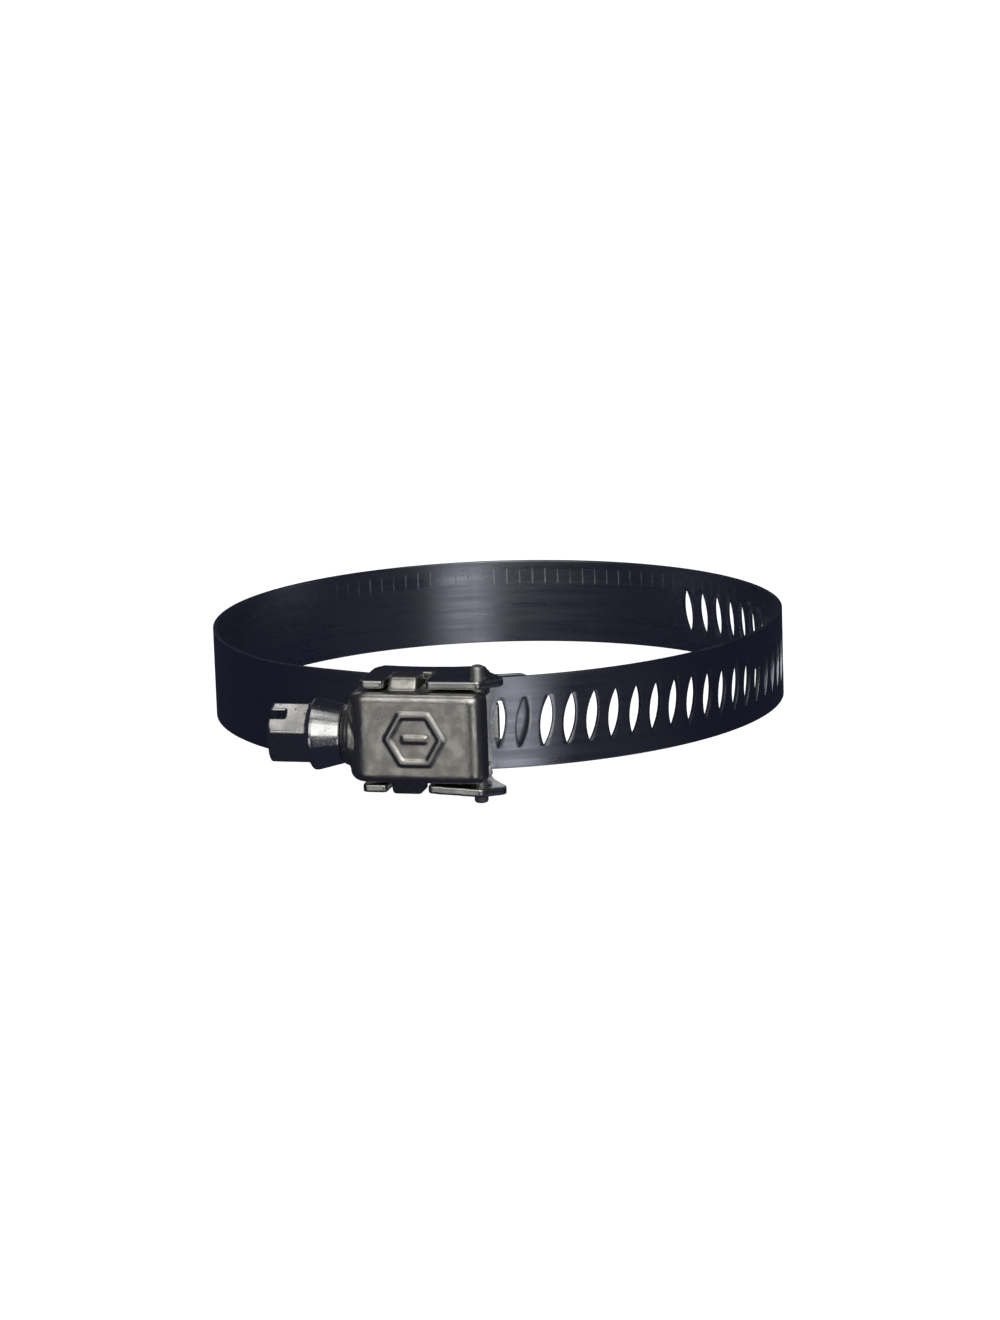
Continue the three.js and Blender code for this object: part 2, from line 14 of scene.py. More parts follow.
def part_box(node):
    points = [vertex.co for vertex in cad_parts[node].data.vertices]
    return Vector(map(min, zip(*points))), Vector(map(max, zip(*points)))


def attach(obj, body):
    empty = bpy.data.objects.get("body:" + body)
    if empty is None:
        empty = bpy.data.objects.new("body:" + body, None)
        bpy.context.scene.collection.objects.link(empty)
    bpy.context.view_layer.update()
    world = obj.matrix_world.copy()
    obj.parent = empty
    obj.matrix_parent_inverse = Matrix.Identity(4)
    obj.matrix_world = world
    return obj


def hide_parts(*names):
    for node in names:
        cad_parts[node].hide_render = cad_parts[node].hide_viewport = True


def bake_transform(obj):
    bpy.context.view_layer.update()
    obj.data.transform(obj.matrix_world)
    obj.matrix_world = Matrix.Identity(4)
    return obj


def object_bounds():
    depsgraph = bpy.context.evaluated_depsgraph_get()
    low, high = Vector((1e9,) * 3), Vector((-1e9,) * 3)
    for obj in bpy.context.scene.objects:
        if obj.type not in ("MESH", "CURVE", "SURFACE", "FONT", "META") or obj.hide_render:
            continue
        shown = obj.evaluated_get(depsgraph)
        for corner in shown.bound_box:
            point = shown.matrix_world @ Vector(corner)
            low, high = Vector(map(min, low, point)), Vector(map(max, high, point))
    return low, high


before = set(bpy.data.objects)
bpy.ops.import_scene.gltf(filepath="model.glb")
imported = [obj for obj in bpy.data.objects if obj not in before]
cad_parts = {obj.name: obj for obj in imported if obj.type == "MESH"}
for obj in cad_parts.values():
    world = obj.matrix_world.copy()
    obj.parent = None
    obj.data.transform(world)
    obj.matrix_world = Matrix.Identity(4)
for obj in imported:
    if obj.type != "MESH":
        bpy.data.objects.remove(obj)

bl_info = {
    "name": "Hose clamp",
    "version": (1, 0, 0),
    "blender": (4, 5, 0),
    "location": "3D View > Sidebar > Hose clamp",
    "description": "Makes the pieces, the finishes and the stage of a worm-drive hose clamp",
    "category": "Object",
}

MM = 0.001
CAD_BOUNDS = [list(corner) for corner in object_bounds()]
LOOP_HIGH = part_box("band_loop")[1]
PIN_LOW, PIN_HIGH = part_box("hinge_pin")
STRIP_THICK = 0.6 * MM
BACK_R = LOOP_HIGH.y - STRIP_THICK / 2

# How much of a slot's curve its eased lines keep, and how far out they stand, in pitches.
EASE_BEND, EASE_STEP = 0.55, 0.22
# Where the strip's lines stand between a slot's tip and the strip's edge, as parts of that height.
OUTER_ROWS = (0.15, 0.4, 0.7, 0.92, 1)
# Steps that crowd toward the strip's two ends, where the corners are round.
TAIL_STEPS = (0, 0.05, 0.16, 0.32, 0.52, 0.75)
TONGUE_STEPS = (0.25, 0.48, 0.68, 0.84, 0.95, 1)
TONGUE_SPACING = 1.2 * MM
# The collar's radius, inside which the shell's left end stays as it is, and the ease outside it.
COLLAR_R, COLLAR_EASE = 4.9 * MM, 1.2 * MM
# The hinge pin's ends as (radius, distance from the end), both in pin radii, from the end inward.
PIN_FOOT = ((0, 0), (0.55, 0), (0.85, 0.1), (1, 0.35))
PIN_HEAD = ((0, 0), (0.4, 0.02), (0.72, 0.12), (0.93, 0.32), (1, 0.6))
# The lighter upright ticks: their spacing and heights in the strip's own centimetres, and where
# they fade.
MARK_SPACING = 0.2
MARK_HALF_WIDTH = (0.03, 0.06)
MARK_FOOT = (0.27, 0.30)
MARK_TOP = (0.50, 0.53)
MARK_FADE_Y = (18 * MM, 32 * MM)
MARK_STRENGTH = (0.1, 0.7)
# Bright metal: a painted highlight on the sharp outward edges, and the lighter upright ticks.
HIGHLIT_EDGE_STRIP = (0.85, 0.84, 0.82)
HIGHLIT_EDGE_PIECE = (0.93, 0.91, 0.86)
MARKED_STRIP = (0.9, 0.9, 0.9)
# Light tints.
WARM, WARMER = (1, 0.99, 0.96), (1, 0.98, 0.93)
HOUSING_PIECES = ("shell_pressed", "bracket_pressed", "screw_turned", "hinge_pin_turned")


def length(name, description, default):
    """A size that shows as a distance in the panel."""
    return FloatProperty(
        name=name, description=description, default=default, unit="LENGTH", subtype="DISTANCE"
    )


def colour(name, description, default):
    """A colour that shows as a swatch in the panel."""
    return FloatVectorProperty(
        name=name, description=description, default=default, size=3, min=0, max=1, subtype="COLOR"
    )


def angle(name, description, degrees):
    """An angle, given in degrees."""
    return FloatProperty(
        name=name, description=description, default=math.radians(degrees), subtype="ANGLE"
    )


def share(name, description, default):
    """A number from 0 to 1."""
    return FloatProperty(
        name=name, description=description, default=default, min=0, max=1, subtype="FACTOR"
    )


# ---- sizes and finishes ------------------------------------------------------------------


class ClampBandSizes(bpy.types.PropertyGroup):
    """The strip: its section, its plan and its slots."""

    thick: length("Thickness", "Thickness of the strip", STRIP_THICK)
    loop_r: length("Back radius", "Middle of the strip, round the back", BACK_R)
    side_extra: length("Side extra", "How much flatter the sides are, in radius", 5 * MM)
    saddle_r: length("Saddle radius", "Middle of the strip, under the screw", 33 * MM)
    bulge: length("Front bulge", "How far the front stands outside the back's round", 4.3 * MM)
    pitch: length("Slot pitch", "From one slot to the next", 3.3 * MM)
    slot_width: length("Slot width", "Across a slot's middle", 1.75 * MM)
    slot_height: length("Slot height", "From tip to tip", 7.2 * MM)
    slot_lean: angle("Slot lean", "How far a slot leans", 7)
    first_slot: length("First slot", "Along the strip from the saddle's middle", 10.2 * MM)
    split: length("Split", "Where the moving tail begins", 8.55 * MM)
    tail_tip: length("Tail tip", "Where the tail ends", -5.5 * MM)
    tongue_end: length("Tongue end", "Where the plain end stops, one lap on", 15.6 * MM)
    tongue_shift: length("Tongue shift", "How far the tongue lies inside the tail", 1.87 * MM)
    ramp_start: length("Ramp start", "Where the plain side starts to move in", 30 * MM)
    ramp_end: length("Ramp end", "Where it has moved in", 9.5 * MM)
    window_length: length("Window length", "Opening in the tongue, along the strip", 3.4 * MM)
    window_height: length("Window height", "Opening in the tongue, across the strip", 5.4 * MM)
    end_round: length("End rounding", "Radius of the corners at the ends", 2.2 * MM)
    edge: length("Edge rounding", "Rounding of the strip's edges", 0.07 * MM)
    loop_slots: IntProperty(name="Loop slots", description="Slots past the split", default=31)
    tail_slots: IntProperty(name="Tail slots", description="Slots before the split", default=4)


class ClampPressedSizes(bpy.types.PropertyGroup):
    """The pressed and turned pieces: how finely they are made and how far their edges melt."""

    grain: length("Shell grain", "Size of a face on the shell and the bracket", 0.16 * MM)
    soften: IntProperty(name="Softening", description="Passes on the pressed edges", default=12)
    turned_grain: length("Screw grain", "Size of a face on the screw", 0.14 * MM)
    turned_soften: IntProperty(name="Screw softening", description="Passes on the screw", default=6)
    dome: share("Dome", "How far the shell's left end narrows toward the collar", 0.1)
    dome_start: length("Dome start", "Where the left end starts to narrow", -5.2 * MM)
    pin_steps: IntProperty(name="Pin steps", description="Sides of the turned pin", default=64)


class ClampFinishes(bpy.types.PropertyGroup):
    """The colours and roughness of each steel."""

    band: colour("Band", "Rolled strip", (0.50, 0.52, 0.60))
    band_rough: share("Band roughness", "Roughness of the strip", 0.26)
    shell: colour("Shell", "Tumbled pressing", (0.66, 0.65, 0.60))
    shell_rough: share("Shell roughness", "Roughness of the shell", 0.36)
    bracket: colour("Bracket", "Pressed sheet", (0.60, 0.60, 0.58))
    bracket_rough: share("Bracket roughness", "Roughness of the bracket", 0.32)
    screw: colour("Screw", "Plated steel", (0.74, 0.74, 0.74))
    screw_rough: share("Screw roughness", "Roughness of the screw", 0.28)
    pin: colour("Pin", "Drawn steel", (0.84, 0.83, 0.80))
    pin_rough: share("Pin roughness", "Roughness of the pin", 0.5)


class ClampStage(bpy.types.PropertyGroup):
    """The floor, the surroundings that the steel mirrors, and the camera."""

    floor: colour("Floor", "Pale floor", (0.92, 0.92, 0.92))
    dark: colour(
        "Surroundings", "What the steel mirrors where no light stands", (0.0150, 0.0165, 0.0290)
    )
    distance: length("Distance", "From the camera to the clamp", 665 * MM)
    azimuth: angle("Azimuth", "Camera's turn to the right", 13.5)
    elevation: angle("Elevation", "Camera's height", 11.82)
    roll: angle("Roll", "Camera's roll", -1.9)
    lens: FloatProperty(name="Lens", description="Focal length in millimetres", default=124.14)
    aim: length("Aim", "Height that the camera points at", -0.69 * MM)


# ---- the strip ---------------------------------------------------------------------------


class Plan:
    """The strip's line seen from above: three arcs a side, each tangent to the next."""

    def __init__(self, band):
        saddle_y = -(band.loop_r - band.saddle_r + band.bulge)
        side_r = band.loop_r + band.side_extra
        step = side_r - band.saddle_r
        spread = (step**2 + saddle_y**2 - band.side_extra**2) / (-2 * saddle_y * step)
        first = math.acos(spread)
        side_x = -step * math.sin(first)
        side_y = saddle_y + step * math.cos(first)
        last = math.atan2(-side_x, side_y)
        self.arcs = (
            (0, saddle_y, band.saddle_r, 0, first),
            (side_x, side_y, side_r, first, last),
            (0, 0, band.loop_r, last, math.pi),
        )
        self.half = sum(r * (end - start) for _, _, r, start, end in self.arcs)

    def point(self, along, out):
        """The place `along` the strip from the saddle's middle, `out` from its middle layer."""
        wrapped = along - 2 * self.half * round(along / (2 * self.half))
        side = -1 if wrapped < 0 else 1
        left = abs(wrapped)
        for x, y, r, start, end in self.arcs:
            if left <= r * (end - start) or end == math.pi:
                break
            left -= r * (end - start)
        angle = start + left / r
        return side * (x + (r + out) * math.sin(angle)), y - (r + out) * math.cos(angle)


def shift_in(band, plan, along):
    """How far the plain side has moved in, to pass under the bracket."""
    before = 2 * plan.half - along
    part = min(1, max(0, (band.ramp_start - before) / (band.ramp_start - band.ramp_end)))
    return band.tongue_shift * (1 - math.cos(math.pi * part)) / 2


def spread_evenly(start, end, step):
    """Places from start to end, about a step apart, with both ends."""
    count = max(1, round((end - start) / step))
    return [start + (end - start) * i / count for i in range(count + 1)]


def strip_rows(band):
    """Heights of the strip's lines: close together at the slots' tips and at the edges."""
    tip = band.slot_height / 2
    top = LOOP_HIGH.z
    inner = [tip * math.sin(math.pi * i / 14) for i in range(-7, 8)]
    outer = [tip + (top - tip) * part for part in OUTER_ROWS]
    return [-z for z in reversed(outer)] + inner + outer


def lens(band, z):
    """Half a slot's width at a height."""
    half, bulge = band.slot_height / 2, band.slot_width / 2
    r = (half**2 + bulge**2) / (2 * bulge)
    return max(0, math.sqrt(max(0, r**2 - z**2)) - (r - bulge)) if abs(z) < half else 0


def slot_columns(band, centre):
    """The four lines of one slot: two rims and, outside them, two that ease into the web."""
    ease = EASE_STEP * band.pitch
    return [
        (centre, -1, ease, EASE_BEND),
        (centre, -1, 0, 1),
        (centre, 1, 0, 1),
        (centre, 1, ease, EASE_BEND),
    ]


def straight(places):
    """Lines that no slot bends."""
    return [(place, 0, 0, 0) for place in places]


def flat_strip(band, columns):
    """A flat sheet along X and Z whose lines stand at the columns, with its slots left out."""
    rows = strip_rows(band)
    bm = bmesh.new()
    bmesh.ops.create_grid(bm, x_segments=len(columns) - 1, y_segments=len(rows) - 1, size=1)
    gaps = []
    for face in bm.faces:
        line = (face.calc_center_median().x + 1) / 2 * (len(columns) - 1)
        before, after = columns[int(line)], columns[int(line) + 1]
        if before[1] < 0 < after[1] and before[2] == 0 == after[2]:
            gaps.append(face)
    bmesh.ops.delete(bm, geom=gaps, context="FACES")
    for vert in bm.verts:
        place, side, ease, part = columns[round((vert.co.x + 1) / 2 * (len(columns) - 1))]
        z = rows[round((vert.co.y + 1) / 2 * (len(rows) - 1))]
        vert.co = (place + side * (ease + part * lens(band, z)), 0, z)
    bmesh.ops.remove_doubles(bm, verts=bm.verts, dist=0.004 * MM)
    return bm


def lean_slots(bm, band, start, end):
    """Leans the slots; the lean fades out within one pitch of the start and the end."""
    slope = math.tan(band.slot_lean)
    for vert in bm.verts:
        near = min(vert.co.x - start, end - vert.co.x) / band.pitch
        vert.co.x += slope * vert.co.z * min(1, max(0, near))


def round_corners(bm, band, end, way):
    """Draws the strip's edges in where it ends, to round its two corners."""
    top, tip, r = LOOP_HIGH.z, band.slot_height / 2, band.end_round
    for vert in bm.verts:
        inside = way * (end - vert.co.x)
        z = abs(vert.co.z)
        if inside < r and z > tip:
            half = top - r + math.sqrt(max(0, r**2 - (r - max(0, inside)) ** 2))
            vert.co.z = math.copysign(tip + (z - tip) * (half - tip) / (top - tip), vert.co.z)


def thicken(bm, thick):
    """Gives a flat sheet its thickness, half to each side."""
    bmesh.ops.recalc_face_normals(bm, faces=bm.faces)
    bmesh.ops.solidify(bm, geom=bm.faces[:], thickness=thick)
    middle = sum(vert.co.y for vert in bm.verts) / len(bm.verts)
    bmesh.ops.translate(bm, verts=bm.verts, vec=(0, -middle, 0))
    bmesh.ops.recalc_face_normals(bm, faces=bm.faces)


def round_edges(bm, width, seams):
    """Rounds each sharp edge, apart from those on a seam that another piece carries on."""
    edges = [
        edge
        for edge in bm.edges
        if len(edge.link_faces) == 2
        and edge.calc_face_angle() > math.radians(40)
        and not any(all(abs(v.co.x - seam) < 0.01 * MM for v in edge.verts) for seam in seams)
    ]
    bmesh.ops.bevel(
        bm, geom=edges, offset=width, offset_type="OFFSET", segments=2, profile=0.5,
        affect="EDGES", clamp_overlap=True, material=-1,
    )


def lay_out(bm):
    """Keeps the flat strip's own lengthwise and upward places as its UV map, in centimetres."""
    layer = bm.loops.layers.uv.new("strip")
    for face in bm.faces:
        for loop in face.loops:
            loop[layer].uv = (loop.vert.co.x * 100, loop.vert.co.z * 100)


def bend(bm, band, plan):
    """Wraps the flat strip round the plan."""
    for vert in bm.verts:
        along, out, z = vert.co
        x, y = plan.point(along, -out - shift_in(band, plan, along))
        vert.co = (x, y, z)
    bmesh.ops.recalc_face_normals(bm, faces=bm.faces)


def cut_window(bm, band, plan):
    """Opens the window in the tongue that the bracket's hook goes through."""
    centre = band.first_slot + 2 * plan.half
    half, tall = band.window_length / 2, band.window_height / 2
    for place, normal in (
        ((centre - half, 0, 0), (1, 0, 0)),
        ((centre + half, 0, 0), (1, 0, 0)),
        ((0, 0, tall), (0, 0, 1)),
        ((0, 0, -tall), (0, 0, 1)),
    ):
        near = [f for f in bm.faces if abs(f.calc_center_median().x - centre) < 2 * half]
        parts = set(near) | {e for f in near for e in f.edges} | {v for f in near for v in f.verts}
        bmesh.ops.bisect_plane(bm, geom=list(parts), dist=1e-7, plane_co=place, plane_no=normal)
    inside = [
        f
        for f in bm.faces
        if abs(f.calc_center_median().x - centre) < half and abs(f.calc_center_median().z) < tall
    ]
    bmesh.ops.delete(bm, geom=inside, context="FACES")


def strip_object(bm, name, band, seams):
    """Turns a flat sheet into the finished piece of the strip."""
    plan = Plan(band)
    thicken(bm, band.thick)
    round_edges(bm, band.edge, seams)
    lay_out(bm)
    bend(bm, band, plan)
    piece = new_object(name, bm)
    piece.data.set_sharp_from_angle(angle=math.radians(24))
    return piece


# ---- the pressed and turned pieces ------------------------------------------------------------


def new_object(name, bm):
    """An object at the origin that holds the mesh, smooth shaded."""
    mesh = bpy.data.meshes.new(name)
    for face in bm.faces:
        face.smooth = True
    bm.to_mesh(mesh)
    bm.free()
    piece = bpy.data.objects.new(name, mesh)
    bpy.context.scene.collection.objects.link(piece)
    return piece


def worked_copy(node, name):
    """A copy of a solid's mesh with its loose triangles joined."""
    bm = bmesh.new()
    bm.from_mesh(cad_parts[node].data)
    bmesh.ops.remove_doubles(bm, verts=bm.verts, dist=0.002 * MM)
    return new_object(name, bm)


def press(piece, grain, passes):
    """Makes the piece's skin even and fine, and melts its edges as pressing and tumbling do."""
    even = piece.modifiers.new("even skin", "REMESH")
    even.mode = "VOXEL"
    even.voxel_size = grain
    even.use_smooth_shade = True
    soft = piece.modifiers.new("melted edges", "SMOOTH")
    soft.factor = 0.5
    soft.iterations = passes
    graph = bpy.context.evaluated_depsgraph_get()
    graph.update()
    made = bpy.data.meshes.new_from_object(piece.evaluated_get(graph))
    piece.modifiers.clear()
    piece.data = made
    made.name = piece.name
    for face in made.polygons:
        face.use_smooth = True
    return piece


def dome_left_end(piece, sizes, axis):
    """Narrows the shell's left end toward the collar."""
    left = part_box("shell")[0].x
    for vert in piece.data.vertices:
        part = min(1, max(0, (sizes.dome_start - vert.co.x) / (sizes.dome_start - left)))
        from_axis = math.hypot(vert.co.y - axis.y, vert.co.z - axis.z)
        outside = min(1, max(0, (from_axis - COLLAR_R) / COLLAR_EASE))
        vert.co.z -= sizes.dome * part**2 * outside * (vert.co.z - axis.z)


def turn(profile, steps, centre):
    """Spins a profile of (radius, height) about a line along Z through the centre."""
    bm = bmesh.new()
    verts = [bm.verts.new((r, 0, z)) for r, z in profile]
    edges = [bm.edges.new(pair) for pair in zip(verts, verts[1:])]
    bmesh.ops.spin(
        bm, geom=verts + edges, cent=(0, 0, 0), axis=(0, 0, 1), angle=2 * math.pi,
        steps=steps, use_merge=True, use_duplicate=False,
    )
    bmesh.ops.remove_doubles(bm, verts=bm.verts, dist=0.001 * MM)
    bmesh.ops.translate(bm, verts=bm.verts, vec=centre)
    bmesh.ops.recalc_face_normals(bm, faces=bm.faces)
    return bm


# ---- materials -----------------------------------------------------------------------------


def group(name, inputs, outputs):
    """An empty shader node group with named sockets, or None if it is already made."""
    if name in bpy.data.node_groups:
        return None
    tree = bpy.data.node_groups.new(name, "ShaderNodeTree")
    for socket, kind, value in inputs:
        made = tree.interface.new_socket(socket, in_out="INPUT", socket_type=kind)
        if value is not None:
            made.default_value = value
    for socket in outputs:
        tree.interface.new_socket(socket, in_out="OUTPUT", socket_type="NodeSocketFloat")
    return tree


def node(tree, kind, place, **values):
    """A node at a place in the tree; values set its properties."""
    made = tree.nodes.new(kind)
    made.location = place
    for key, value in values.items():
        setattr(made, key, value)
    return made


def math_node(tree, operation, first, second, place, clamp=False):
    """A math node; each operand is a socket or a number."""
    made = node(tree, "ShaderNodeMath", place, operation=operation, use_clamp=clamp)
    for socket, value in zip(made.inputs, (first, second)):
        if isinstance(value, bpy.types.NodeSocket):
            tree.links.new(value, socket)
        else:
            socket.default_value = value
    return made.outputs[0]


def ranged(tree, value, low, high, place, to_low=0.0, to_high=1.0):
    """Spreads a value between two limits."""
    made = node(tree, "ShaderNodeMapRange", place, clamp=True)
    tree.links.new(value, made.inputs["Value"])
    limits = {"From Min": low, "From Max": high, "To Min": to_low, "To Max": to_high}
    for name, number in limits.items():
        if isinstance(number, bpy.types.NodeSocket):
            tree.links.new(number, made.inputs[name])
        else:
            made.inputs[name].default_value = number
    return made.outputs["Result"]


def noise(tree, vector, scale, detail, place, rough=0.55):
    """A noise texture's value."""
    made = node(tree, "ShaderNodeTexNoise", place)
    tree.links.new(vector, made.inputs["Vector"])
    if isinstance(scale, bpy.types.NodeSocket):
        tree.links.new(scale, made.inputs["Scale"])
    else:
        made.inputs["Scale"].default_value = scale
    made.inputs["Detail"].default_value = detail
    made.inputs["Roughness"].default_value = rough
    return made.outputs[0]


def stretched(tree, vector, scale, place):
    """A vector with each part made longer or shorter."""
    made = node(tree, "ShaderNodeMapping", place)
    tree.links.new(vector, made.inputs["Vector"])
    made.inputs["Scale"].default_value = scale
    return made.outputs[0]


def rolling_lines():
    """Fine lengthwise lines and scratches from rolling; the vector's X runs along the strip."""
    tree = group(
        "rolling lines",
        [("Vector", "NodeSocketVector", None), ("Fineness", "NodeSocketFloat", 60.0)],
        ["Height", "Streaks"],
    )
    if tree is None:
        return
    start = node(tree, "NodeGroupInput", (-900, 0))
    end = node(tree, "NodeGroupOutput", (500, 0))
    vector, fine = start.outputs["Vector"], start.outputs["Fineness"]
    thin = stretched(tree, vector, (0.02, 1, 1), (-700, 200))
    broad = stretched(tree, vector, (0.04, 1, 1), (-700, -50))
    short = stretched(tree, vector, (0.12, 1, 1), (-700, -300))
    lines = noise(tree, thin, fine, 5, (-450, 200), 0.7)
    wide = noise(tree, broad, 9.0, 3, (-450, -50))
    dashes = noise(tree, short, 26.0, 2, (-450, -300))
    marks = ranged(tree, dashes, 0.62, 0.72, (-200, -300))
    mixed = math_node(tree, "MULTIPLY_ADD", wide, 0.6, (0, 150))
    tree.links.new(lines, mixed.node.inputs[2])
    deep = math_node(tree, "MULTIPLY_ADD", marks, -0.3, (200, 100))
    tree.links.new(mixed, deep.node.inputs[2])
    tree.links.new(deep, end.inputs["Height"])
    cloudy = ranged(tree, wide, 0.35, 0.65, (0, -100))
    streaks = math_node(tree, "ADD", cloudy, marks, (200, -150), True)
    tree.links.new(streaks, end.inputs["Streaks"])


def tumbled_skin():
    """Small dents and pits that tumbling leaves on a pressing."""
    tree = group(
        "tumbled skin",
        [("Vector", "NodeSocketVector", None), ("Scale", "NodeSocketFloat", 900.0)],
        ["Height", "Pits", "Patches"],
    )
    if tree is None:
        return
    start = node(tree, "NodeGroupInput", (-900, 0))
    end = node(tree, "NodeGroupOutput", (500, 0))
    vector, scale = start.outputs["Vector"], start.outputs["Scale"]
    dents = noise(tree, vector, scale, 3, (-600, 200))
    coarse = math_node(tree, "MULTIPLY", scale, 0.28, (-750, 0))
    fine = math_node(tree, "MULTIPLY", scale, 2.6, (-750, -200))
    waves = noise(tree, vector, coarse, 2, (-600, 0))
    specks = noise(tree, vector, fine, 2, (-600, -200))
    pits = ranged(tree, specks, 0.66, 0.76, (-350, -200))
    height = math_node(tree, "MULTIPLY_ADD", waves, 2.2, (-100, 150))
    tree.links.new(dents, height.node.inputs[2])
    pitted = math_node(tree, "MULTIPLY_ADD", pits, -0.45, (100, 100))
    tree.links.new(height, pitted.node.inputs[2])
    tree.links.new(pitted, end.inputs["Height"])
    tree.links.new(pits, end.inputs["Pits"])
    tree.links.new(ranged(tree, waves, 0.4, 0.62, (100, -100)), end.inputs["Patches"])


def upright_ticks():
    """Short upright marks, evenly spaced near the strip's upper edge, inside the loop at the back.
    The vector is the strip's own layout, and the place is in the clamp's frame."""
    tree = group(
        "upright ticks",
        [
            ("Vector", "NodeSocketVector", None),
            ("Place", "NodeSocketVector", None),
            ("Spacing", "NodeSocketFloat", MARK_SPACING),
            ("Radius", "NodeSocketFloat", BACK_R),
        ],
        ["Mask"],
    )
    if tree is None:
        return
    start = node(tree, "NodeGroupInput", (-1100, 0))
    end = node(tree, "NodeGroupOutput", (700, 0))
    flat = node(tree, "ShaderNodeSeparateXYZ", (-850, 200))
    tree.links.new(start.outputs["Vector"], flat.inputs[0])
    turns = math_node(tree, "DIVIDE", flat.outputs["X"], start.outputs["Spacing"], (-650, 250))
    part = node(tree, "ShaderNodeMath", (-480, 250), operation="PINGPONG")
    tree.links.new(turns, part.inputs[0])
    part.inputs[1].default_value = 0.5
    lines = ranged(tree, part.outputs[0], *MARK_HALF_WIDTH, (-300, 250), 1.0, 0.0)
    above = ranged(tree, flat.outputs["Y"], *MARK_FOOT, (-300, 50))
    below = ranged(tree, flat.outputs["Y"], *MARK_TOP, (-300, -150), 1.0, 0.0)
    band = math_node(tree, "MULTIPLY", above, below, (-100, 0))
    place = node(tree, "ShaderNodeSeparateXYZ", (-850, -300))
    tree.links.new(start.outputs["Place"], place.inputs[0])
    level = node(tree, "ShaderNodeCombineXYZ", (-650, -300))
    tree.links.new(place.outputs["X"], level.inputs["X"])
    tree.links.new(place.outputs["Y"], level.inputs["Y"])
    radius = node(tree, "ShaderNodeVectorMath", (-480, -300), operation="LENGTH")
    tree.links.new(level.outputs[0], radius.inputs[0])
    inner = math_node(
        tree, "LESS_THAN", radius.outputs["Value"], start.outputs["Radius"], (-300, -330)
    )
    back = ranged(tree, place.outputs["Y"], *MARK_FADE_Y, (-300, -500))
    faded = noise(tree, start.outputs["Vector"], 2.5, 2, (-300, 450))
    marks = math_node(tree, "MULTIPLY", lines, band, (100, 100))
    inside = math_node(tree, "MULTIPLY", inner, back, (100, -300))
    shown = math_node(tree, "MULTIPLY", marks, inside, (300, 0))
    strength = ranged(tree, faded, 0.3, 0.65, (300, 300), *MARK_STRENGTH)
    uneven = math_node(tree, "MULTIPLY", shown, strength, (500, 100))
    tree.links.new(uneven, end.inputs["Mask"])


def painted_edge_highlight():
    """Where a surface turns sharply outward, for a painted highlight along the edge."""
    tree = group(
        "painted edge highlight",
        [("Start", "NodeSocketFloat", 0.52), ("Full", "NodeSocketFloat", 0.62)],
        ["Mask"],
    )
    if tree is None:
        return
    start = node(tree, "NodeGroupInput", (-500, 0))
    end = node(tree, "NodeGroupOutput", (300, 0))
    shape = node(tree, "ShaderNodeNewGeometry", (-500, -200))
    mask = ranged(
        tree, shape.outputs["Pointiness"], start.outputs["Start"], start.outputs["Full"], (0, 0)
    )
    tree.links.new(mask, end.inputs["Mask"])


def grouped(tree, name, place, vector=None, **values):
    """Places one of the node groups with its own values."""
    made = node(tree, "ShaderNodeGroup", place, node_tree=bpy.data.node_groups[name])
    if vector is not None:
        tree.links.new(vector, made.inputs["Vector"])
    for key, value in values.items():
        made.inputs[key].default_value = value
    return made


def blended(tree, mask, first, second, place):
    """Mixes two colours, each a socket or three numbers, by a mask."""
    made = node(tree, "ShaderNodeMix", place, data_type="RGBA")
    tree.links.new(mask, made.inputs[0])
    for socket, value in ((made.inputs[6], first), (made.inputs[7], second)):
        if isinstance(value, bpy.types.NodeSocket):
            tree.links.new(value, socket)
        else:
            socket.default_value = (*value, 1)
    return made.outputs[2]


def shade(colour, factor):
    """A colour made darker or lighter."""
    return tuple(min(1, part * factor) for part in colour)


def steel(name):
    """A material with only a metallic shader, cleared if it is there, and its tree and shader."""
    material = bpy.data.materials.get(name) or bpy.data.materials.new(name)
    material.use_nodes = True
    tree = material.node_tree
    tree.nodes.clear()
    shader = node(tree, "ShaderNodeBsdfPrincipled", (0, 0))
    shader.inputs["Metallic"].default_value = 1
    out = node(tree, "ShaderNodeOutputMaterial", (300, 0))
    tree.links.new(shader.outputs["BSDF"], out.inputs["Surface"])
    return material, tree, shader


def finish_steel(tree, shader, base, rough, height, bump):
    """Feeds colour, roughness and bump to the shader."""
    tree.links.new(base, shader.inputs["Base Color"])
    tree.links.new(rough, shader.inputs["Roughness"])
    raised = node(tree, "ShaderNodeBump", (-250, -350))
    raised.inputs["Strength"].default_value = 1
    raised.inputs["Distance"].default_value = bump
    tree.links.new(height, raised.inputs["Height"])
    tree.links.new(raised.outputs["Normal"], shader.inputs["Normal"])


